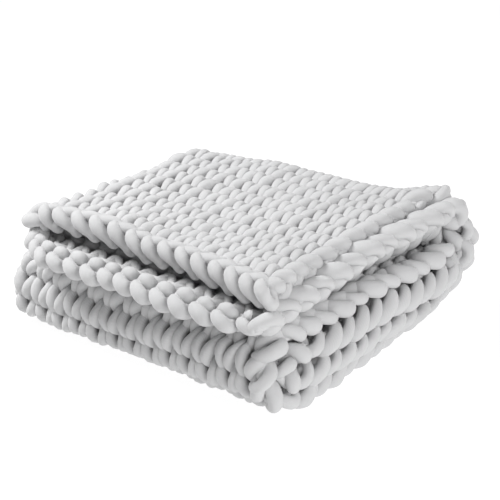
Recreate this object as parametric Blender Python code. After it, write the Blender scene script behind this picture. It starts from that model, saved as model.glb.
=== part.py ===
"""Weighted blanket, hand-knitted in stockinette from one thick tube yarn, lying folded.

The blanket is one piece of cloth. It is doubled across its width, so that both selvedges lie together
at +X and the crease at -X. The doubled cloth is then folded in three along its length: the top third
runs back from the open front edge, turns down round the rear, comes forward as the bottom third, turns
up at the front and ends inside the rear turn. That makes six layers on one another.

Two coordinates follow the cloth: "across" runs from the selvedge of the outer strip over the crease to
the selvedge of the inner strip, and "along" runs from the cast-on edge to the bind-off edge.
"""

import bpy
import numpy as np

# Driving sizes, in metres.
LAYER = 0.0450              # rise from one layer to the next
CLOTH = 0.0400              # thickness of the knitted cloth
FOLDED_WIDTH = 0.610        # from the crease to the selvedges, along X
FOLDED_DEPTH = 0.600        # from the front turn to the rear turn, along Y
WALE = 0.0436               # one column of stitches

# The open edge of the top third: the upper strip lies back, the lower one overhangs the front turn.
UPPER_EDGE_BACK = 0.030
LOWER_EDGE_OUT = 0.046
EDGE_TURN = 0.160           # the stretch past the crease over which the one becomes the other
EDGE_REACH = 0.120          # how far into the cloth that offset fades
MOUTH_LIFT = 0.024          # how far the upper strip gapes off the lower one at the crease
MOUTH_REACH = 0.170

TUCK = 0.024                # how far the bind-off edge reaches into the rear turn

# The selvedge of the inner strip curls up beside the outer strip, most of all in the top third.
CURL_LENGTH = 0.055
CURL_TOP = 1.30             # radians turned
CURL_BELOW = 0.30
OUTER_PAST_CURL_TOP = 0.015    # where the outer strip ends, measured from the start of the curl
OUTER_PAST_CURL_BELOW = 0.044
STRETCH_REACH = 0.160       # the stretch of the outer strip over which its edge moves

# How the stack lies: the moves along X and Y of the corners of the straight fold, at three levels given
# as shares of the height. Left is the crease and right the selvedges.
LEVELS = (
    {
        "height": 0.00,
        "front_left": (-0.065, -0.019),
        "front_right": (0.009, 0.017),
        "rear_left": (0.000, -0.047),
        "rear_right": (-0.006, 0.003),
    },
    {
        "height": 0.42,
        "front_left": (-0.077, 0.025),
        "front_right": (-0.002, -0.005),
        "rear_left": (-0.005, -0.040),
        "rear_right": (0.057, 0.053),
    },
    {
        "height": 0.78,
        "front_left": (-0.004, -0.013),
        "front_right": (-0.003, 0.004),
        "rear_left": (0.009, -0.031),
        "rear_right": (0.049, 0.054),
    },
)

# Rises and hollows of the stack: centre (share of width, share of depth), radius in the same shares,
# and the share of the height by which the top moves.
SWELLS = (
    {"centre": (1.05, 0.97), "radius": (0.28, 0.16), "rise": 0.150},
    {"centre": (0.90, 0.76), "radius": (0.28, 0.13), "rise": -0.077},
    {"centre": (0.00, 0.40), "radius": (0.22, 0.60), "rise": -0.056},
    {"centre": (0.02, 0.98), "radius": (0.30, 0.30), "rise": -0.011},
    {"centre": (0.30, 0.55), "radius": (0.25, 0.22), "rise": 0.018},
    {"centre": (0.62, 0.30), "radius": (0.22, 0.20), "rise": -0.017},
    {"centre": (0.00, 0.02), "radius": (0.22, 0.20), "rise": -0.044},
    {"centre": (0.50, 0.45), "radius": (0.25, 0.30), "rise": -0.040},
)
RIPPLE = 0.0016             # small unevenness of every layer

# Mesh density.
ROWS_FLAT = 9               # rows along each straight third
ROWS_REAR = 13              # rows round the rear turn
ROWS_FRONT = 9              # rows round the front turn
COLUMNS_FLAT = 10
COLUMNS_CREASE = 8
COLUMNS_CURL = 4

FRONT_CENTRE = 2 * LAYER                     # middle of the front turn, from the front
REAR_CENTRE = FOLDED_DEPTH - 3 * LAYER       # middle of the rear turn, from the front
CREASE_RADIUS = LAYER / 2
CURL_START = FOLDED_WIDTH - CURL_LENGTH      # where the inner strip starts to curl, along X

# Lengths along the cloth.
TOP_END = REAR_CENTRE
REAR_END = TOP_END + 2 * np.pi * LAYER
BOTTOM_END = REAR_END + REAR_CENTRE - FRONT_CENTRE
FRONT_END = BOTTOM_END + np.pi * LAYER
LENGTH = FRONT_END + REAR_CENTRE - FRONT_CENTRE + TUCK

# Lengths across the cloth. The outer strip starts at its selvedge, at across = 0.
OUTER_END = CURL_START + OUTER_PAST_CURL_BELOW - 2 * CREASE_RADIUS
CREASE_END = OUTER_END + np.pi * CREASE_RADIUS
INNER_CURL = CREASE_END + CURL_START - 2 * CREASE_RADIUS
WIDTH = INNER_CURL + CURL_LENGTH


def ease(share):
    """0 below 0, 1 above 1, and a smooth rise between them."""
    share = np.clip(share, 0, 1)
    return share * share * (3 - 2 * share)


def between(pair, share):
    """The value that share of the way from the first to the second."""
    first, second = pair
    return first + (second - first) * share


def fold_path(along):
    """Side view of the fold: Y and Z of the doubled cloth's middle, and its outward normal there."""
    rear = np.clip(along - TOP_END, 0, REAR_END - TOP_END) / (2 * LAYER)
    front = np.clip(along - BOTTOM_END, 0, FRONT_END - BOTTOM_END) / LAYER
    turn = rear + front
    top = np.minimum(along, TOP_END)
    bottom = np.clip(along - REAR_END, 0, BOTTOM_END - REAR_END)
    middle = np.maximum(along - FRONT_END, 0)
    y = top - bottom + middle + 2 * LAYER * np.sin(rear) - LAYER * np.sin(front)
    z = 5 * LAYER - 2 * LAYER * (1 - np.cos(rear)) + LAYER * (1 - np.cos(front))
    return y, z, np.sin(turn), np.cos(turn)


def cross_section(across, along):
    """End view of the doubled cloth: X, and the distance from the doubled cloth's middle."""
    top_share = 1 - ease((along - TOP_END) / (REAR_END - TOP_END))
    curl = between((CURL_BELOW, CURL_TOP), top_share)
    pull = (OUTER_PAST_CURL_BELOW - OUTER_PAST_CURL_TOP) * top_share
    mouth = MOUTH_LIFT * np.exp(-((along / MOUTH_REACH) ** 2))

    crease = np.clip(across - OUTER_END, 0, CREASE_END - OUTER_END) / CREASE_RADIUS
    x = CREASE_RADIUS * 2 + np.maximum(OUTER_END - across, 0)
    x = x - pull * np.clip(1 - across / STRETCH_REACH, 0, 1) ** 2
    gape = mouth * (1 - 0.85 * ease(x / FOLDED_WIDTH)) * (1 + np.cos(crease)) / 2
    x = x - (CREASE_RADIUS + mouth / 4) * np.sin(crease)
    offset = CREASE_RADIUS * np.cos(crease) + gape

    inner = np.maximum(across - CREASE_END, 0)
    turned = np.maximum(across - INNER_CURL, 0) / CURL_LENGTH * curl
    radius = CURL_LENGTH / curl
    x = x + np.minimum(inner, INNER_CURL - CREASE_END) + radius * np.sin(turned)
    return x, offset + radius * (1 - np.cos(turned))


def lie(x, y, z):
    """Moves a point of the straight fold to where the soft stack really lies. The underside stays flat
    on the floor."""
    z = z - (LAYER - CLOTH) / 2
    right, rear, height = x / FOLDED_WIDTH, y / FOLDED_DEPTH, z / (6 * LAYER)
    low, middle, high = (row["height"] for row in LEVELS)
    upper, lower = ease((height - middle) / (high - middle)), ease((height - low) / (middle - low))
    move_x, move_y = 0, 0
    for row, level_share in zip(LEVELS, (1 - lower, lower * (1 - upper), upper)):
        for depth, depth_share in (("front", 1 - ease(rear)), ("rear", ease(rear))):
            for side, side_share in (("left", 1 - right), ("right", right)):
                corner_x, corner_y = row[depth + "_" + side]
                share = level_share * depth_share * side_share
                move_x = move_x + corner_x * share
                move_y = move_y + corner_y * share
    swell = 0
    for row in SWELLS:
        distance = ((right - row["centre"][0]) / row["radius"][0]) ** 2
        distance = distance + ((rear - row["centre"][1]) / row["radius"][1]) ** 2
        swell = swell + row["rise"] * np.exp(-distance)
    ripple = np.sin(37 * x + 11 * z) * np.cos(31 * y + 5 * z) + np.sin(19 * y - 23 * x + 17 * z)
    return np.stack(
        [
            x + move_x,
            y + move_y,
            z * (1 + swell) + RIPPLE * ripple * ease(height * 2),
        ],
        axis=-1,
    )


def straight_fold(across, along):
    """A point of the cloth's middle in the straight fold."""
    outer_share = 1 - ease((across - OUTER_END) / EDGE_TURN)
    overhang = LOWER_EDGE_OUT * (1 - 0.8 * ease(1 - (WIDTH - across) / EDGE_TURN))
    shift = between((-overhang, UPPER_EDGE_BACK), outer_share)
    x, offset = cross_section(across, along)
    y, z, normal_y, normal_z = fold_path(along + shift * np.exp(-along / EDGE_REACH))
    return np.stack([x, y + offset * normal_y, z + offset * normal_z], axis=-1)


def cloth_point(across, along, out):
    """A point of the lying blanket, that far out from the cloth's middle on its knit side."""
    step = 1e-4
    down_width = straight_fold(across + step, along) - straight_fold(across - step, along)
    down_length = straight_fold(across, along + step) - straight_fold(across, along - step)
    normal = np.cross(down_length, down_width)
    normal = normal / np.linalg.norm(normal, axis=-1, keepdims=True)
    point = straight_fold(across, along) + normal * out[..., None]
    return lie(point[..., 0], point[..., 1], point[..., 2])


def stations(length, inner):
    """Stations from edge to edge of the cloth, with three at each rounded rim, and the share of the
    half thickness that the cloth has at each one."""
    rim = np.array([0.0, 0.14, 0.48]) * CLOTH
    inner = [place for place in inner if rim[-1] + 0.01 < place < length - rim[-1] - 0.01]
    places = np.concatenate([rim, inner, length - rim[::-1]])
    fullness = np.concatenate([[0, 0.72, 1], np.ones(len(inner)), [1, 0.72, 0]])
    return places, fullness


def runs(*stretches):
    """Even stations along stretches given as (start, end, count), one after another."""
    return np.concatenate([np.linspace(start, end, count, endpoint=False) for start, end, count in stretches])


def knitted_cloth():
    """The blanket's mesh: its knit side and its purl side, joined round the rims."""
    across, across_full = stations(
        WIDTH,
        runs(
            (WALE / 2, OUTER_END, COLUMNS_FLAT),
            (OUTER_END, CREASE_END, COLUMNS_CREASE),
            (CREASE_END, INNER_CURL, COLUMNS_FLAT),
            (INNER_CURL, WIDTH, COLUMNS_CURL),
        ),
    )
    along, along_full = stations(
        LENGTH,
        runs(
            (WALE / 2, TOP_END, ROWS_FLAT),
            (TOP_END, REAR_END, ROWS_REAR),
            (REAR_END, BOTTOM_END, ROWS_FLAT - 2),
            (BOTTOM_END, FRONT_END, ROWS_FRONT),
            (FRONT_END, LENGTH, ROWS_FLAT - 2),
        ),
    )
    grid_across, grid_along = np.meshgrid(across, along, indexing="ij")
    full = np.minimum(across_full[:, None], along_full[None, :]) * CLOTH / 2
    knit = cloth_point(grid_across, grid_along, full)
    purl = cloth_point(grid_across, grid_along, -full)

    columns, rows = full.shape
    number = np.arange(columns * rows).reshape(columns, rows)
    other = np.where(full > 0, number + columns * rows, number)
    faces = []
    for column in range(columns - 1):
        for row in range(rows - 1):
            corners = [(column, row), (column + 1, row), (column + 1, row + 1), (column, row + 1)]
            faces.append([int(number[corner]) for corner in reversed(corners)])
            faces.append([int(other[corner]) for corner in corners])
    points = np.concatenate([knit.reshape(-1, 3), purl.reshape(-1, 3)])
    used = sorted({corner for face in faces for corner in face})
    place = {corner: index for index, corner in enumerate(used)}
    faces = [[place[corner] for corner in face] for face in faces]
    return points[used], faces


def bottom_centre(points):
    """The middle of the footprint's box, on the floor."""
    low, high = points.min(axis=0), points.max(axis=0)
    return np.array([(low[0] + high[0]) / 2, (low[1] + high[1]) / 2, low[2]])


def yarn_material():
    """Soft light grey cotton jersey."""
    material = bpy.data.materials.new("grey_jersey_yarn")
    material.use_nodes = True
    surface = material.node_tree.nodes["Principled BSDF"]
    surface.inputs["Base Color"].default_value = (0.62, 0.62, 0.62, 1)
    surface.inputs["Roughness"].default_value = 0.9
    surface.inputs["Metallic"].default_value = 0.0
    return material


def add_blanket():
    points, faces = knitted_cloth()
    mesh = bpy.data.meshes.new("blanket")
    mesh.from_pydata((points - bottom_centre(points)).tolist(), [], faces)
    mesh.shade_smooth()
    mesh.materials.append(yarn_material())
    blanket = bpy.data.objects.new("blanket", mesh)
    bpy.context.scene.collection.objects.link(blanket)


for item in list(bpy.data.objects):
    bpy.data.objects.remove(item, do_unlink=True)
add_blanket()
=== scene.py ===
import bpy
import numpy as np
from mathutils import Matrix


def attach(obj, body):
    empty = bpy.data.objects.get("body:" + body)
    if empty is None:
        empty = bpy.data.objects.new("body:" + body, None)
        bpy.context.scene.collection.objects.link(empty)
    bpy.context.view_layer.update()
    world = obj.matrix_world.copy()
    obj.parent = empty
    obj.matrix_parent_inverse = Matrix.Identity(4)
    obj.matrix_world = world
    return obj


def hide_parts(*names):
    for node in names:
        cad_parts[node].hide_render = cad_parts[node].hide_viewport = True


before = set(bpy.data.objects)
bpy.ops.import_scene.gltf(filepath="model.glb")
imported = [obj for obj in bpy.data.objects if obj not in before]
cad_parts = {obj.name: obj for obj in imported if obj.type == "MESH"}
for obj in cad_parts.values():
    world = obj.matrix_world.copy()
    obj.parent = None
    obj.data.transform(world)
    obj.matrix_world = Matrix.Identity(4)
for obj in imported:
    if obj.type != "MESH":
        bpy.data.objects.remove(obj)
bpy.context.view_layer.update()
print("frame loaded, nodes:", len(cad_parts))

# How the cloth lies, in metres: the same fold as the solid's.
fold = {
    "layers": 6,
    "layer": 0.0450,            # rise from one layer to the next
    "cloth": 0.0400,            # thickness of the knitted cloth
    "width": 0.610,             # from the crease to the selvedges, along X
    "depth": 0.600,             # from the front turn to the rear turn, along Y
    "upperEdgeBack": 0.030,     # the open edge: the upper strip lies back
    "lowerEdgeOut": 0.046,      # and the lower one overhangs the front turn,
    "selvedgeLess": 0.8,        # by this share less at the selvedge
    "edgeTurn": 0.160,          # width over which the one passes into the other
    "edgeReach": 0.120,         # how far behind the open edge that fades
    "mouthLift": 0.024,         # the two strips gape at the open edge,
    "mouthReach": 0.170,
    "mouthClosed": 0.85,        # by this share less at the selvedges
    "mouthRound": 0.25,         # and the crease is that much rounder there
    "tuck": 0.024,              # the innermost end runs on into the rear turn
    "curlLength": 0.055,        # the inner strip's selvedge curls up,
    "curlTop": 1.30,            # by this angle on top
    "curlBelow": 0.30,          # and by this one below
    "pastCurlTop": 0.015,       # the outer strip's selvedge lies this far past the curl's start
    "pastCurlBelow": 0.044,
    "stretchReach": 0.160,      # width over which it is drawn in
    "ripple": 0.0016,           # small waves, and how they turn along X, Y and Z
    "rippleTurns": ((37, 0, 11), (0, 31, 5), (-23, 19, 17)),
    "calmBelow": 0.5,           # they fade below this share of the height
    "levels": (                 # moves of the corners, at shares of the height
        {"height": 0.00, "frontLeft": (-0.065, -0.019), "frontRight": (0.009, 0.017),
         "rearLeft": (0.000, -0.047), "rearRight": (-0.006, 0.003)},
        {"height": 0.42, "frontLeft": (-0.077, 0.025), "frontRight": (-0.002, -0.005),
         "rearLeft": (-0.005, -0.040), "rearRight": (0.057, 0.053)},
        {"height": 0.78, "frontLeft": (-0.004, -0.013), "frontRight": (-0.003, 0.004),
         "rearLeft": (0.009, -0.031), "rearRight": (0.049, 0.054)},
    ),
    "swells": (                 # rises and hollows, in shares of the stack's width, depth and height
        {"centre": (1.05, 0.97), "radius": (0.28, 0.16), "rise": 0.150},
        {"centre": (0.90, 0.76), "radius": (0.28, 0.13), "rise": -0.077},
        {"centre": (0.00, 0.40), "radius": (0.22, 0.60), "rise": -0.056},
        {"centre": (0.02, 0.98), "radius": (0.30, 0.30), "rise": -0.011},
        {"centre": (0.30, 0.55), "radius": (0.25, 0.22), "rise": 0.018},
        {"centre": (0.62, 0.30), "radius": (0.22, 0.20), "rise": -0.017},
        {"centre": (0.00, 0.02), "radius": (0.22, 0.20), "rise": -0.044},
        {"centre": (0.50, 0.45), "radius": (0.25, 0.30), "rise": -0.040},
    ),
    "measured": (240, 320),     # points across and along that find the middle of the blanket
}
layer = fold["layer"]
# the middle of the doubled cloth: its turns' radii, their centres, and where each part ends along it
rearRadius = 2 * layer
frontRadius = layer
topHeight = 5 * layer
frontCentre = 2 * layer
rearCentre = fold["depth"] - 3 * layer
topEnd = rearCentre
rearEnd = topEnd + np.pi * rearRadius
bottomEnd = rearEnd + rearCentre - frontCentre
frontEnd = bottomEnd + np.pi * frontRadius
clothLength = frontEnd + rearCentre - frontCentre + fold["tuck"]
# across it: the outer strip, the crease, the inner strip and its curl
creaseRadius = layer / 2
curlStart = fold["width"] - fold["curlLength"]
outerEnd = curlStart + fold["pastCurlBelow"] - 2 * creaseRadius
creaseEnd = outerEnd + np.pi * creaseRadius
innerCurl = creaseEnd + curlStart - 2 * creaseRadius
clothWidth = innerCurl + fold["curlLength"]


def ease(share):
    share = np.clip(share, 0, 1)
    return share * share * (3 - 2 * share)


def between(pair, share):
    first, second = pair
    return first + (second - first) * share


def foldPath(along):
    # side view of the fold: Y and Z of the doubled cloth's middle, and its normal
    rear = np.clip(along - topEnd, 0, rearEnd - topEnd) / rearRadius
    front = np.clip(along - bottomEnd, 0, frontEnd - bottomEnd) / frontRadius
    turn = rear + front
    top = np.minimum(along, topEnd)
    bottom = np.clip(along - rearEnd, 0, bottomEnd - rearEnd)
    middle = np.maximum(along - frontEnd, 0)
    y = top - bottom + middle + rearRadius * np.sin(rear) - frontRadius * np.sin(front)
    z = topHeight - rearRadius * (1 - np.cos(rear)) + frontRadius * (1 - np.cos(front))
    return y, z, np.sin(turn), np.cos(turn)


def crossSection(across, along):
    # end view of the doubled cloth: X, and the distance from its middle
    topShare = 1 - ease((along - topEnd) / (rearEnd - topEnd))
    curl = between((fold["curlBelow"], fold["curlTop"]), topShare)
    pull = (fold["pastCurlBelow"] - fold["pastCurlTop"]) * topShare
    mouth = fold["mouthLift"] * np.exp(-((along / fold["mouthReach"]) ** 2))

    crease = np.clip(across - outerEnd, 0, creaseEnd - outerEnd) / creaseRadius
    x = creaseRadius * 2 + np.maximum(outerEnd - across, 0)
    x = x - pull * np.clip(1 - across / fold["stretchReach"], 0, 1) ** 2
    closed = fold["mouthClosed"] * ease(x / fold["width"])
    gape = mouth * (1 - closed) * (1 + np.cos(crease)) / 2
    x = x - (creaseRadius + mouth * fold["mouthRound"]) * np.sin(crease)
    offset = creaseRadius * np.cos(crease) + gape

    inner = np.maximum(across - creaseEnd, 0)
    turned = np.maximum(across - innerCurl, 0) / fold["curlLength"] * curl
    radius = fold["curlLength"] / curl
    x = x + np.minimum(inner, innerCurl - creaseEnd) + radius * np.sin(turned)
    return x, offset + radius * (1 - np.cos(turned))


def lie(x, y, z):
    # moves a point of the straight fold to where the soft stack lies
    z = z - (layer - fold["cloth"]) / 2
    right = x / fold["width"]
    rear = y / fold["depth"]
    height = z / (fold["layers"] * layer)
    low, middle, high = (row["height"] for row in fold["levels"])
    upper = ease((height - middle) / (high - middle))
    lower = ease((height - low) / (middle - low))
    moveX = 0
    moveY = 0
    for row, levelShare in zip(fold["levels"], (1 - lower, lower * (1 - upper), upper)):
        for depth, depthShare in (("front", 1 - ease(rear)), ("rear", ease(rear))):
            for side, sideShare in (("Left", 1 - right), ("Right", right)):
                cornerX, cornerY = row[depth + side]
                share = levelShare * depthShare * sideShare
                moveX = moveX + cornerX * share
                moveY = moveY + cornerY * share
    swell = 0
    for row in fold["swells"]:
        distance = ((right - row["centre"][0]) / row["radius"][0]) ** 2
        distance = distance + ((rear - row["centre"][1]) / row["radius"][1]) ** 2
        swell = swell + row["rise"] * np.exp(-distance)
    first, second, third = (a * x + b * y + c * z for a, b, c in fold["rippleTurns"])
    ripple = np.sin(first) * np.cos(second) + np.sin(third)
    rise = fold["ripple"] * ripple * ease(height / fold["calmBelow"])
    return np.stack([x + moveX, y + moveY, z * (1 + swell) + rise], axis=-1)


def straightFold(across, along):
    # the fold before it settles: the doubled cloth along its side view, with the open edge moved
    outerShare = 1 - ease((across - outerEnd) / fold["edgeTurn"])
    selvedge = ease(1 - (clothWidth - across) / fold["edgeTurn"])
    overhang = fold["lowerEdgeOut"] * (1 - fold["selvedgeLess"] * selvedge)
    moved = between((-overhang, fold["upperEdgeBack"]), outerShare)
    x, offset = crossSection(across, along)
    y, z, normalY, normalZ = foldPath(along + moved * np.exp(-along / fold["edgeReach"]))
    return np.stack([x, y + offset * normalY, z + offset * normalZ], axis=-1)


def clothPoint(across, along, out):
    # a point of the lying blanket, that far out from the cloth's middle on its knit side
    step = 1e-4
    downWidth = straightFold(across + step, along) - straightFold(across - step, along)
    downLength = straightFold(across, along + step) - straightFold(across, along - step)
    normal = np.cross(downLength, downWidth)
    normal = normal / np.linalg.norm(normal, axis=-1, keepdims=True)
    point = straightFold(across, along) + normal * out[..., None]
    return lie(point[..., 0], point[..., 1], point[..., 2])


def middleOfFold():
    # the solid is centred on the footprint's box, so the knit moves by as much
    low = np.full(3, np.inf)
    high = -low
    across = np.linspace(0, clothWidth, fold["measured"][0])[:, None]
    along = np.linspace(0, clothLength, fold["measured"][1])[None, :]
    for out in (-fold["cloth"] / 2, fold["cloth"] / 2):
        points = clothPoint(across + along * 0, along + across * 0, out + across * along * 0)
        low = np.minimum(low, points.min(axis=(0, 1)))
        high = np.maximum(high, points.max(axis=(0, 1)))
    return np.array([(low[0] + high[0]) / 2, (low[1] + high[1]) / 2, 0])


# The knit: one thick yarn worked to and fro.
knit = {
    "wales": 27,                # columns of stitches across the flat cloth
    "courses": 41,              # rows of stitches along it
    "yarn": (0.0101, 0.0114),   # half the yarn's width and thickness in a stitch
    "seed": 7,                  # no two stitches alike
    "jitterWale": 0.045,        # in columns
    "jitterCourse": 0.045,      # in courses
    "jitterOut": 0.0012,        # in metres
    "jitterFullness": 0.05,     # share of the yarn's thickness
    "pressed": 0.5,             # the floor flattens this share of the yarn's half thickness
}
# Where the courses lie: the course at the start and end of each turn of the fold.
spread = {
    "castOn": -0.53,
    "bindOff": 41.4,
    "selvedgeTurns": (10.6, 18.6, 26.9, 31.0),  # rear turn, front turn, at the first selvedge
    "outerTurns": (10.6, 18.6, 27.3, 31.8),     # in the rest of the outer strip
    "innerTurns": (10.6, 16.8, 27.7, 29.8),     # and in the inner one
    "selvedgeReach": 9.0,       # columns over which the first becomes the second
    "shareWales": (12.0, 19.0),     # columns where the second becomes the third
    "selvedge": 0.024,          # kept free for the turns beside the first and the last column
    "topFades": (10.5, 14.5),   # the top's own drift ends over these courses
    "lean": 0.0043,             # the top's columns drift to the crease, per course
    "leanStart": -0.0365,
    "widening": 0.0018,         # and are a little wider than below, per column
    "recess": 0.0026,           # the upper selvedge draws in, per course
    "recessReach": 2.5,
    "gather": 0.018,            # columns are narrow in the middle and wide beside the edges
    "gatherStart": 2.0,
    "gatherPeriod": 15.0,
    "creaseRise": 0.0044,       # courses lie further back at the crease, per course
    "creaseRiseFrom": 2,
    "creaseWales": (9.5, 13.5),
    "frontDip": -0.010,         # and further forward at the selvedge
    "frontDipReach": 3,
}
# How the selvedges of the top and the crease settle: course, how far in, and how far up.
settle = {
    "upper": ((0.0, 0.000, 0.000), (6.0, 0.000, 0.002), (9.0, 0.000, 0.011), (12.5, 0.000, 0.012),
              (17.0, 0.000, 0.000)),
    "upperReach": 3.0,
    "lower": ((0.0, 0.000, -0.012), (3.0, 0.004, 0.004), (9.5, 0.022, 0.032), (12.5, 0.018, 0.030),
              (17.0, 0.000, 0.000)),
    "lowerReach": 4.5,
    "crease": (13.3, 1.6, 0.010),   # the chain draws in round this column, over so many, by so much
}
waleWidth = (clothWidth - 2 * spread["selvedge"]) / knit["wales"]
turnEnds = (0, topEnd, rearEnd, bottomEnd, frontEnd, clothLength)
toMiddle = middleOfFold()
chance = np.random.default_rng(knit["seed"])
unevenness = chance.normal(0, 1, (4, knit["wales"] + 4, knit["courses"] + 4))


def uneven(which, wale, course):
    # smooth seeded unevenness over the cloth, about one stitch across
    before = 1.5            # the grid starts before the first stitch
    past = 2.999            # and ends past the last one
    wale = np.clip(wale + before, 0, knit["wales"] + past)
    course = np.clip(course + before, 0, knit["courses"] + past)
    column = np.floor(wale).astype(int)
    row = np.floor(course).astype(int)
    columnShare = ease(wale - column)
    rowShare = ease(course - row)
    grid = unevenness[which]
    near = grid[column, row] * (1 - columnShare) + grid[column + 1, row] * columnShare
    far = grid[column, row + 1] * (1 - columnShare) + grid[column + 1, row + 1] * columnShare
    return near * (1 - rowShare) + far * rowShare


def loosen(wale, course, out, full):
    moved = wale + knit["jitterWale"] * uneven(0, wale, course)
    course = course + knit["jitterCourse"] * uneven(1, wale, course)
    out = out + knit["jitterOut"] * uneven(2, wale, course)
    return moved, course, out, full + knit["jitterFullness"] * uneven(3, wale, course)


def layOut(wale, course):
    # where a place in the knit lies on the cloth
    start, end = spread["shareWales"]
    inner = ease((wale - start) / (end - start))
    spots = []
    for turns in ("selvedgeTurns", "outerTurns", "innerTurns"):
        knots = (spread["castOn"],) + spread[turns] + (spread["bindOff"],)
        spots.append(np.interp(course, knots, turnEnds))
    outer = between((spots[0], spots[1]), ease(wale / spread["selvedgeReach"]))
    along = between((outer, spots[2]), inner)
    start, end = spread["topFades"]
    top = (1 - ease((course - start) / (end - start))) * (1 - inner)
    drift = spread["leanStart"] + spread["lean"] * course + spread["widening"] * wale
    drift = drift + spread["recess"] * course * np.exp(-np.maximum(wale, 0) / spread["recessReach"])
    gathered = np.cos(2 * np.pi * (wale - spread["gatherStart"]) / spread["gatherPeriod"])
    drift = drift + spread["gather"] * gathered
    start, end = spread["creaseWales"]
    late = np.maximum(course - spread["creaseRiseFrom"], 0)
    along = along + top * spread["creaseRise"] * late * ease((wale - start) / (end - start))
    along = along + top * spread["frontDip"] * ease(1 - wale / spread["frontDipReach"])
    return spread["selvedge"] + waleWidth * wale + drift * top, along


def settled(wale, course):
    upper = np.array(settle["upper"]).T
    lower = np.array(settle["lower"]).T
    upperShare = 1 - ease(wale / settle["upperReach"])
    lowerShare = ease((wale - knit["wales"]) / settle["lowerReach"] + 1)
    middle, reach, draw = settle["crease"]
    crease = np.exp(-(((wale - middle) / reach) ** 2)) * np.exp(-np.maximum(course + 0.5, 0))
    inward = upperShare * np.interp(course, upper[0], upper[1]) - draw * crease
    inward = inward + lowerShare * np.interp(course, lower[0], lower[1])
    rise = upperShare * np.interp(course, upper[0], upper[2])
    rise = rise + lowerShare * np.interp(course, lower[0], lower[2])
    return np.stack([-inward, inward * 0, rise], axis=-1)


def knitPoint(wale, course, out):
    across, along = layOut(wale, course)
    return clothPoint(across, along, out) - toMiddle + settled(wale, course)


def onFloor(height):
    # the yarn that the blanket lies on is pressed flat
    soft = knit["yarn"][1] * knit["pressed"]
    return np.where(height < soft, soft * np.exp(np.minimum(height / soft - 1, 0)), height)


def tube(path, sides, yarn):
    # a yarn along the path: rings of points, and the length of yarn up to each ring
    wale, course, out, full = path
    outward = 0.002         # a small step that finds which way the cloth faces
    middle = knitPoint(wale, course, out)
    normal = knitPoint(wale, course, out + outward) - middle
    normal = normal / np.linalg.norm(normal, axis=1, keepdims=True)
    forward = np.gradient(middle, axis=0)
    forward = forward / np.linalg.norm(forward, axis=1, keepdims=True)
    side = np.cross(forward, normal)
    side = side / np.linalg.norm(side, axis=1, keepdims=True)
    normal = np.cross(side, forward)
    angle = np.arange(sides) / sides * 2 * np.pi
    ring = side[:, None, :] * (np.cos(angle) * yarn[0])[None, :, None]
    ring = ring + normal[:, None, :] * (np.sin(angle) * yarn[1])[None, :, None]
    points = middle[:, None, :] + ring * full[:, None, None]
    points[..., 2] = onFloor(points[..., 2])
    length = np.concatenate([[0], np.cumsum(np.linalg.norm(np.diff(middle, axis=0), axis=1))])
    return points, length


def joinTubes(name, tubes):
    # one mesh from many tubes, each closed at its ends
    allPoints = []
    corners = []
    sizes = []
    uvs = []
    base = 0
    for points, length in tubes:
        count, sides = points.shape[:2]
        allPoints.append(points.reshape(-1, 3))
        number = base + np.arange(count * sides).reshape(count, sides)
        beside = np.roll(number, -1, axis=1)
        quads = np.stack([number[:-1], beside[:-1], beside[1:], number[1:]], axis=-1)
        corners.append(quads.reshape(-1))
        sizes.append(np.full((count - 1) * sides, 4))
        around = np.arange(sides + 1) / sides
        grid = np.stack(np.broadcast_arrays(length[:, None], around[None, :]), axis=-1)
        face = np.stack([grid[:-1, :-1], grid[:-1, 1:], grid[1:, 1:], grid[1:, :-1]], axis=2)
        uvs.append(face.reshape(-1, 2))
        for cap, flat in ((number[0][::-1], 0.0), (number[-1], length[-1])):
            corners.append(cap)
            sizes.append(np.array([sides]))
            uvs.append(np.stack([np.full(sides, flat), around[:-1]], axis=-1))
        base += count * sides
    points = np.concatenate(allPoints)
    corners = np.concatenate(corners)
    sizes = np.concatenate(sizes)
    mesh = bpy.data.meshes.new(name)
    mesh.vertices.add(len(points))
    mesh.vertices.foreach_set("co", points.astype(np.float32).reshape(-1))
    mesh.loops.add(len(corners))
    mesh.loops.foreach_set("vertex_index", corners.astype(np.int32))
    mesh.polygons.add(len(sizes))
    starts = np.concatenate([[0], np.cumsum(sizes)[:-1]])
    mesh.polygons.foreach_set("loop_start", starts.astype(np.int32))
    lengthwise = mesh.uv_layers.new(name="alongYarn")
    lengthwise.data.foreach_set("uv", np.concatenate(uvs).astype(np.float32).reshape(-1))
    mesh.update(calc_edges=True)
    mesh.validate()
    mesh.shade_smooth()
    piece = bpy.data.objects.new(name, mesh)
    bpy.context.scene.collection.objects.link(piece)
    return piece


yarnLook = {
    "darkShade": (0.53, 0.53, 0.535, 1),
    "lightShade": (0.64, 0.64, 0.645, 1),
    "shadeSize": 9.0,           # slow changes of shade, in features a metre
    "shadeDetail": 4,
    "shadeContrast": 2.0,
    "fluffSize": 900.0,         # the jersey's fine fluff
    "fluffDetail": 3,
    "fluffHeight": 0.0003,
    "fluffTint": (0.35, 0.32),  # how much it mottles the shade, and the shade without it
    "ribs": 260.0,              # ribs of the tube jersey, per metre of yarn
    "ribSlant": 1.5,            # how many ribs they lean by on their way round
    "ribWaver": 6.0,            # how many ribs the shade's noise moves them by
    "ribHeight": 0.00009,
    "bump": 0.6,                # strength of the ribs and the fluff
    "roughness": 0.9,
    "specular": 0.2,
    "sheen": 0.2,
    "sheenRoughness": 0.4,
}


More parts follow.
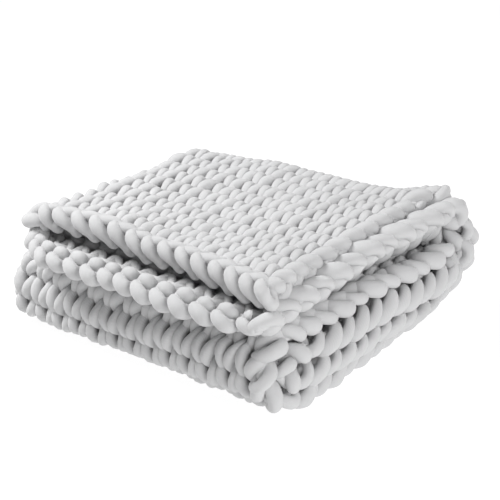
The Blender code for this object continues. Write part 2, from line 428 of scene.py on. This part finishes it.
def yarnMaterial():
    material = bpy.data.materials.new("greyJerseyYarn")
    material.use_nodes = True
    nodes = material.node_tree.nodes
    links = material.node_tree.links
    surface = nodes["Principled BSDF"]
    surface.inputs["Roughness"].default_value = yarnLook["roughness"]
    surface.inputs["Sheen Weight"].default_value = yarnLook["sheen"]
    surface.inputs["Sheen Roughness"].default_value = yarnLook["sheenRoughness"]
    surface.inputs["Specular IOR Level"].default_value = yarnLook["specular"]

    def node(kind, **settings):
        added = nodes.new(kind)
        for name, value in settings.items():
            setattr(added, name, value)
        return added

    def maths(operation, *values):
        added = node("ShaderNodeMath", operation=operation)
        for socket, value in zip(added.inputs, values):
            if isinstance(value, (int, float)):
                socket.default_value = value
            else:
                links.new(value, socket)
        return added.outputs[0]

    def noise(where, size, detail):
        added = node("ShaderNodeTexNoise")
        links.new(where, added.inputs["Vector"])
        added.inputs["Scale"].default_value = size
        added.inputs["Detail"].default_value = detail
        return added.outputs[0]

    def bump(height, distance):
        added = node("ShaderNodeBump")
        added.inputs["Strength"].default_value = yarnLook["bump"]
        added.inputs["Distance"].default_value = distance
        links.new(height, added.inputs["Height"])
        return added

    where = node("ShaderNodeTexCoord").outputs["Object"]
    lengthwise = node("ShaderNodeUVMap", uv_map="alongYarn").outputs["UV"]
    apart = node("ShaderNodeSeparateXYZ")
    links.new(lengthwise, apart.inputs[0])
    along = apart.outputs["X"]
    around = apart.outputs["Y"]
    shade = noise(where, yarnLook["shadeSize"], yarnLook["shadeDetail"])
    fluff = noise(where, yarnLook["fluffSize"], yarnLook["fluffDetail"])

    mix = node("ShaderNodeMix", data_type="RGBA")
    mix.inputs["A"].default_value = yarnLook["darkShade"]
    mix.inputs["B"].default_value = yarnLook["lightShade"]
    mottled = maths("MULTIPLY", shade, maths("MULTIPLY_ADD", fluff, *yarnLook["fluffTint"]))
    stretched = maths("MULTIPLY", mottled, yarnLook["shadeContrast"])
    links.new(stretched, mix.inputs["Factor"])
    links.new(mix.outputs["Result"], surface.inputs["Base Color"])

    # ribs run round the yarn, a little slanted and wavering
    roundYarn = maths("SINE", maths("MULTIPLY", around, 2 * np.pi))
    slanted = maths("MULTIPLY", roundYarn, yarnLook["ribSlant"])
    wavering = maths("MULTIPLY", shade, yarnLook["ribWaver"])
    count = maths("ADD", maths("MULTIPLY", along, yarnLook["ribs"]), maths("ADD", slanted, wavering))
    rib = maths("SINE", maths("MULTIPLY", count, 2 * np.pi))
    ribBump = bump(rib, yarnLook["ribHeight"])
    fluffBump = bump(fluff, yarnLook["fluffHeight"])
    links.new(ribBump.outputs[0], fluffBump.inputs["Normal"])
    links.new(fluffBump.outputs[0], surface.inputs["Normal"])
    return material


greyYarn = yarnMaterial()
print("yarn's material made")


def makePiece(name, tubes):
    piece = joinTubes(name, tubes)
    piece.data.materials.append(greyYarn)
    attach(piece, "root")
    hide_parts("blanket")
    print(name, len(piece.data.loops) - 2 * len(piece.data.polygons), "triangles")


# A coil of yarn closes each selvedge: one turn a course, every other one plumper.
selvedges = {
    "yarn": (0.0110, 0.0130),   # half the yarn's width and thickness
    "stations": 32,             # rings along one turn
    "sides": 16,
    "halfWidth": 0.30,          # of a turn, in columns
    "plumpRim": 0.10,           # the yarn is this much fuller over the rim
    # of each coil the column that it closes, which way is out, and its run: course, columns past
    # the edge, out from the cloth, half height, slant, fullness, alternation
    "coils": {
        "firstSelvedge": (0, -1, (
            (12.0, 0.12, 0.000, 0.015, 0.10, 1.00, 0.07),
            (18.0, 0.12, 0.000, 0.015, 0.26, 1.00, 0.10),
            (26.6, 0.12, 0.000, 0.015, 0.26, 1.00, 0.10),
            (27.9, 0.12, 0.000, -0.012, 0.14, 1.02, 0.08),
            (30.4, 0.12, 0.000, -0.013, 0.14, 1.02, 0.08),
            (32.0, 0.12, -0.001, -0.007, 0.28, 1.02, 0.17),
            (36.0, 0.12, 0.005, -0.007, 0.30, 1.05, 0.17),
            (41.5, 0.12, 0.018, -0.008, 0.30, 1.10, 0.17),
        )),
        "lastSelvedge": (27, 1, (
            (-0.2, 0.02, 0.000, 0.010, 0.28, 0.70, 0.06),
            (1.2, 0.12, -0.002, 0.011, 0.28, 0.96, 0.18),
            (10.6, 0.12, -0.002, 0.011, 0.28, 1.00, 0.20),
            (16.8, 0.10, 0.002, -0.015, 0.20, 0.96, 0.12),
            (27.0, 0.10, 0.002, -0.015, 0.28, 0.96, 0.12),
            (28.4, 0.10, 0.000, 0.010, 0.14, 0.98, 0.10),
            (30.2, 0.10, 0.000, 0.010, 0.14, 0.98, 0.10),
            (31.6, 0.12, -0.001, -0.015, 0.30, 0.98, 0.12),
            (36.0, 0.14, -0.003, -0.015, 0.32, 0.98, 0.12),
            (41.5, 0.14, -0.010, -0.017, 0.32, 1.02, 0.12),
        )),
        "upperSelvedge": (0, -1, (
            (0.6, 0.02, -0.012, 0.012, 0.28, 0.80, 0.05),
            (11.6, 0.02, -0.012, 0.012, 0.28, 0.90, 0.05),
        )),
        "curledSelvedge": (27, 1, (
            (0.5, -0.72, 0.010, -0.014, 0.14, 0.72, 0.06),
            (1.7, -0.72, 0.012, -0.018, 0.14, 0.94, 0.10),
            (13.0, -0.85, 0.014, -0.019, 0.14, 1.00, 0.10),
        )),
    },
}


def coilPath(column, outward, rows):
    # yarn wound round a selvedge: over the rim from the purl side to the knit side, and back inside
    rows = np.array(rows)
    turns = rows[-1, 0] - rows[0, 0]
    course = np.linspace(rows[0, 0], rows[-1, 0], int(turns * selvedges["stations"]))
    values = [np.interp(course, rows[:, 0], steps) for steps in rows[:, 1:].T]
    past, lift, half, slant, size, alternate = values
    turn = 2 * np.pi * course
    wale = column + outward * (past + selvedges["halfWidth"] * np.sin(turn))
    out = lift - half * np.cos(turn)
    full = size + alternate * np.cos(turn / 2 - np.pi / 4) + selvedges["plumpRim"] * np.sin(turn)
    return loosen(wale, course - slant * np.cos(turn), out, full)


for name, (column, outward, rows) in selvedges["coils"].items():
    path = coilPath(column, outward, rows)
    makePiece(name, [tube(path, selvedges["sides"], selvedges["yarn"])])


# The chain along the cast-on edge. A link's points: column, course, out from the cloth, fullness.
chain = {
    "yarn": (0.0110, 0.0130),
    "stations": 56,             # rings along one link
    "sides": 16,
    "links": 29,
    "startPoint": 4,            # the chain starts at this point of its first link
    "linkNumbers": (-2, 0, 12.4, 15.4, 30.4),   # links are denser round the crease: the number
    "linkWales": (-0.8, 0, 12.4, 14.1, 29.1),   # of a link, and the column that it lies at
    "linkBlend": (13.6, 15.6),  # where upper links become lower ones, in numbers of links
    "slimmer": (25.4, 1.6, 0.24),   # the last ones get slimmer: from this column, over so many, by
    "upperLink": (
        (-1.00, 0.36, 0.0030, 0.92),
        (-0.72, 0.30, 0.0120, 1.00),
        (-0.38, 0.16, 0.0160, 1.04),
        (-0.08, 0.00, 0.0150, 1.04),
        (0.08, -0.14, 0.0155, 1.04),
        (0.08, -0.29, 0.0160, 1.12),
        (-0.10, -0.38, 0.0095, 1.13),
        (-0.34, -0.39, 0.0010, 0.95),
        (-0.58, -0.28, -0.0070, 0.84),
        (-0.80, -0.12, -0.0150, 0.96),
        (-0.72, 0.12, -0.0160, 0.98),
        (-0.36, 0.30, -0.0070, 0.90),
    ),
    "lowerLink": (
        (-0.86, 0.42, 0.0020, 0.90),
        (-0.60, 0.44, 0.0040, 0.92),
        (-0.30, 0.34, 0.0040, 0.92),
        (-0.02, 0.14, 0.0020, 0.94),
        (0.08, -0.06, -0.0020, 1.02),
        (-0.04, -0.24, -0.0060, 1.14),
        (-0.28, -0.25, -0.0130, 1.14),
        (-0.52, -0.14, -0.0150, 1.02),
        (-0.60, 0.06, -0.0060, 0.90),
        (-0.44, 0.16, -0.0170, 1.04),
        (-0.28, 0.16, -0.0220, 1.14),
        (-0.08, 0.28, -0.0080, 0.98),
    ),
}


def chainPath():
    # a smooth curve through the points of all the links
    upper = np.array(chain["upperLink"])
    lower = np.array(chain["lowerLink"])
    start, end = chain["linkBlend"]
    corners = []
    for link in range(chain["links"]):
        points = between((upper, lower), ease((link - start) / (end - start)))
        points[:, 0] = np.interp(points[:, 0] + link, chain["linkNumbers"], chain["linkWales"])
        corners.append(points)
    corners = np.concatenate(corners)
    start, reach, slimmer = chain["slimmer"]
    corners[:, 3] = corners[:, 3] * (1 - slimmer * ease((corners[:, 0] - start) / reach))
    steps = np.linspace(chain["startPoint"], len(corners) - 2, chain["links"] * chain["stations"])
    spot = np.minimum(np.floor(steps).astype(int), len(corners) - 3)
    share = (steps - spot)[:, None]
    before, here, after, beyond = (corners[spot + move] for move in (-1, 0, 1, 2))
    bend = 2 * before - 5 * here + 4 * after - beyond
    twist = 3 * here - before - 3 * after + beyond
    curve = here + 0.5 * share * (after - before + share * (bend + share * twist))
    return loosen(*curve.T)


makePiece("castOnChain", [tube(chainPath(), chain["sides"], chain["yarn"])])


# The courses of stitches: legs in front, heads and feet in arcs behind.
stitches = {
    "legLean": 0.205,           # how far a leg leans, in columns
    "legHeight": 0.58,          # half the height of the legs' slope, in courses
    "archHeight": 0.20,         # what the arcs behind add to it
    "archSharpness": 5,
    "skew": 0.17,               # all stitches lean to one side, in columns per course,
    "skewReach": 1.4,           # less in this many columns beside a selvedge
    "loopDepth": 0.0096,        # how far legs stand out and arcs lie back
    "legFullness": 1.20,        # legs are plump and the arcs behind slim
    "arcFullness": 0.76,
    "legSlimming": 2.6,         # how fast a leg gets slimmer to its ends
    "edgeLeg": (0.10, 0.45),    # the outermost leg: where it starts and how wide it is, in columns
    "edgeLegReach": 0.16,       # how far it leans out,
    "topEdgeLegReach": 0.40,    # and on the upper selvedge, which fades over these courses
    "topCourses": (10, 14),
    "edgeLegFullness": 1.16,
    "firstFeet": 0.66,          # the first course's feet sit inside the chain, by this share
    "turnReach": 0.10,          # the turn to the next course bulges out, in columns
    "turnLift": 0.006,
    "turnRoundness": 0.8,
    "turnSlope": 0.8,           # 0 is an even rise to the next course, 1 starts and ends level
    "stations": 30,             # rings along one stitch that shows, and along a hidden one
    "hiddenStations": 12,
    "sides": 14,
    "hiddenSides": 8,
    "innerFrom": 15,            # from this column on a stitch lies in an inner strip
    "outerShows": 31,           # the outer strips show up to this course,
    "outerSelvedge": 2,         # before this column,
    "outerCrease": 11,          # and past this one
    "innerShows": 4,            # the inner strips show up to this course,
    "innerSelvedge": 23,        # and past this column
    "pieces": {                 # first course, and the one after the last
        "topCoursesFront": (0, 6),
        "topCoursesRear": (6, 12),
        "rearCourses": (12, 19),
        "undersideCourses": (19, 27),
        "frontCourses": (27, 32),
        "innerCourses": (32, 41),
    },
}


def stitchPath(course, start, end, stations):
    # the yarn of one course, between two columns
    steps = max(2, int(round(abs(end - start) * stations)))
    step = np.linspace(start, end, steps + 1)
    turn = 2 * np.pi * step
    fromEdge = np.minimum(step, knit["wales"] - step)
    outward = np.where(step < knit["wales"] / 2, -1, 1)
    legStart, legWidth = stitches["edgeLeg"]
    lean = np.sin(np.pi * np.clip((fromEdge - legStart) / legWidth, 0, 1)) ** 2
    lastTop, firstRear = stitches["topCourses"]
    onTop = (1 - ease((course - lastTop) / (firstRear - lastTop))) * (outward < 0)
    reach = between((stitches["edgeLegReach"], stitches["topEdgeLegReach"]), onTop)
    wale = step + stitches["legLean"] * np.sin(2 * turn) + outward * reach * lean
    foot = np.cos(turn)
    if course == 0:
        foot = foot * (1 - stitches["firstFeet"] * ease(foot * 2))
    height = course + 0.5 - stitches["legHeight"] * foot
    height = height - stitches["archHeight"] * foot ** stitches["archSharpness"]
    wale = wale - stitches["skew"] * (height - course - 0.5) * ease(fromEdge / stitches["skewReach"])
    out = -stitches["loopDepth"] * np.cos(2 * turn)
    onLeg = np.abs(np.sin(turn)) ** stitches["legSlimming"]
    full = between((stitches["arcFullness"], stitches["legFullness"]), onLeg)
    full = full + (stitches["edgeLegFullness"] - 1) * lean
    return loosen(wale, height, out, full)


def turnPath(course, stations):
    # the yarn at a selvedge, from the end of one course to the start of the next
    share = np.linspace(0, 1, stations + 1)
    column, outward = (knit["wales"], 1) if course % 2 == 0 else (0, -1)
    bulge = np.sin(np.pi * share)
    wale = column + outward * stitches["turnReach"] * bulge ** stitches["turnRoundness"]
    start = stitches["legHeight"] + stitches["archHeight"]
    wave = np.sin(2 * np.pi * share) / (2 * np.pi)
    height = course + 0.5 - start + share - wave * stitches["turnSlope"]
    out = -stitches["loopDepth"] + stitches["turnLift"] * bulge
    full = between((stitches["arcFullness"], 1), bulge)
    return loosen(wale, height, out, full)


def showing(wale, course):
    # whether the stitch that starts at this column and course can be seen
    if wale < stitches["innerFrom"]:
        beside = wale < stitches["outerSelvedge"] or wale > stitches["outerCrease"]
        return course < stitches["outerShows"] or beside
    return wale > stitches["innerSelvedge"] or course < stitches["innerShows"]


def courseTubes(course):
    # one course, in runs of seen and unseen stitches, with the turn at its end
    tubes = []
    start = 0
    for wale in range(1, knit["wales"] + 1):
        seen = showing(start, course)
        if wale == knit["wales"] or showing(wale, course) != seen:
            stations = stitches["stations"] if seen else stitches["hiddenStations"]
            sides = stitches["sides"] if seen else stitches["hiddenSides"]
            tubes.append(tube(stitchPath(course, start, wale, stations), sides, knit["yarn"]))
            start = wale
    if course < knit["courses"] - 1:
        tubes.append(tube(turnPath(course, stitches["stations"]), stitches["sides"], knit["yarn"]))
    return tubes


for name, (first, past) in stitches["pieces"].items():
    tubes = []
    for course in range(first, past):
        tubes += courseTubes(course)
    makePiece(name, tubes)


studio = {
    "cameraPlace": (1.5585, -1.9185, 1.3354),
    "cameraTurn": 38.5,         # degrees
    "cameraDown": 25.5,
    "lens": 100.8,
    "sensor": 36.0,
    "floorSize": 40.0,
    "floorShade": (0.12, 0.12, 0.12, 1),
    "floorRoughness": 0.9,
    "floorGlow": 0.93,
    "daylight": 0.20,
    "lightAim": (0, 0, 0.15),
    "lights": {                 # place, size, power
        "overhead": ((-1.5, -0.9, 2.3), 1.1, 84),
        "right": ((2.6, -0.6, 1.3), 1.6, 44),
        "behind": ((0.6, 2.6, 1.6), 1.6, 14),
    },
}


def turned(right, up, back, place):
    # the matrix of a camera or light that looks away from its back
    rows = [[right[i], up[i], back[i], place[i]] for i in range(3)]
    return Matrix(rows + [[0, 0, 0, 1]])


def addCamera():
    turn = np.radians(studio["cameraTurn"])
    down = np.radians(studio["cameraDown"])
    right = np.array([np.cos(turn), np.sin(turn), 0])
    ahead = np.array([-np.sin(turn) * np.cos(down), np.cos(turn) * np.cos(down), -np.sin(down)])
    data = bpy.data.cameras.new("camera")
    data.lens = studio["lens"]
    data.sensor_width = studio["sensor"]
    camera = bpy.data.objects.new("camera", data)
    camera.matrix_world = turned(right, np.cross(right, ahead), -ahead, studio["cameraPlace"])
    bpy.context.scene.collection.objects.link(camera)
    bpy.context.scene.camera = camera


def addFloor():
    size = studio["floorSize"] / 2
    mesh = bpy.data.meshes.new("floor")
    corners = [(-size, -size, 0), (size, -size, 0), (size, size, 0), (-size, size, 0)]
    mesh.from_pydata(corners, [], [(0, 1, 2, 3)])
    material = bpy.data.materials.new("paleFloor")
    material.use_nodes = True
    surface = material.node_tree.nodes["Principled BSDF"]
    surface.inputs["Base Color"].default_value = studio["floorShade"]
    surface.inputs["Roughness"].default_value = studio["floorRoughness"]
    surface.inputs["Emission Color"].default_value = (1, 1, 1, 1)
    surface.inputs["Emission Strength"].default_value = studio["floorGlow"]
    mesh.materials.append(material)
    floor = bpy.data.objects.new("floor", mesh)
    bpy.context.scene.collection.objects.link(floor)


def addLight(name, place, size, power):
    data = bpy.data.lights.new(name, "AREA")
    data.shape = "DISK"
    data.size = size
    data.energy = power
    light = bpy.data.objects.new(name, data)
    back = np.array(place, float) - np.array(studio["lightAim"], float)
    back = back / np.linalg.norm(back)
    right = np.cross((0, 1, 0.001), back)
    right = right / np.linalg.norm(right)
    light.matrix_world = turned(right, np.cross(back, right), back, place)
    bpy.context.scene.collection.objects.link(light)


def addDaylight():
    world = bpy.data.worlds.new("studio")
    bpy.context.scene.world = world
    world.use_nodes = True
    background = world.node_tree.nodes["Background"]
    background.inputs["Color"].default_value = (1, 1, 1, 1)
    background.inputs["Strength"].default_value = studio["daylight"]


addCamera()
addFloor()
for name, (place, size, power) in studio["lights"].items():
    addLight(name, place, size, power)
addDaylight()
bpy.context.scene.view_settings.view_transform = "Standard"
print("studio set")
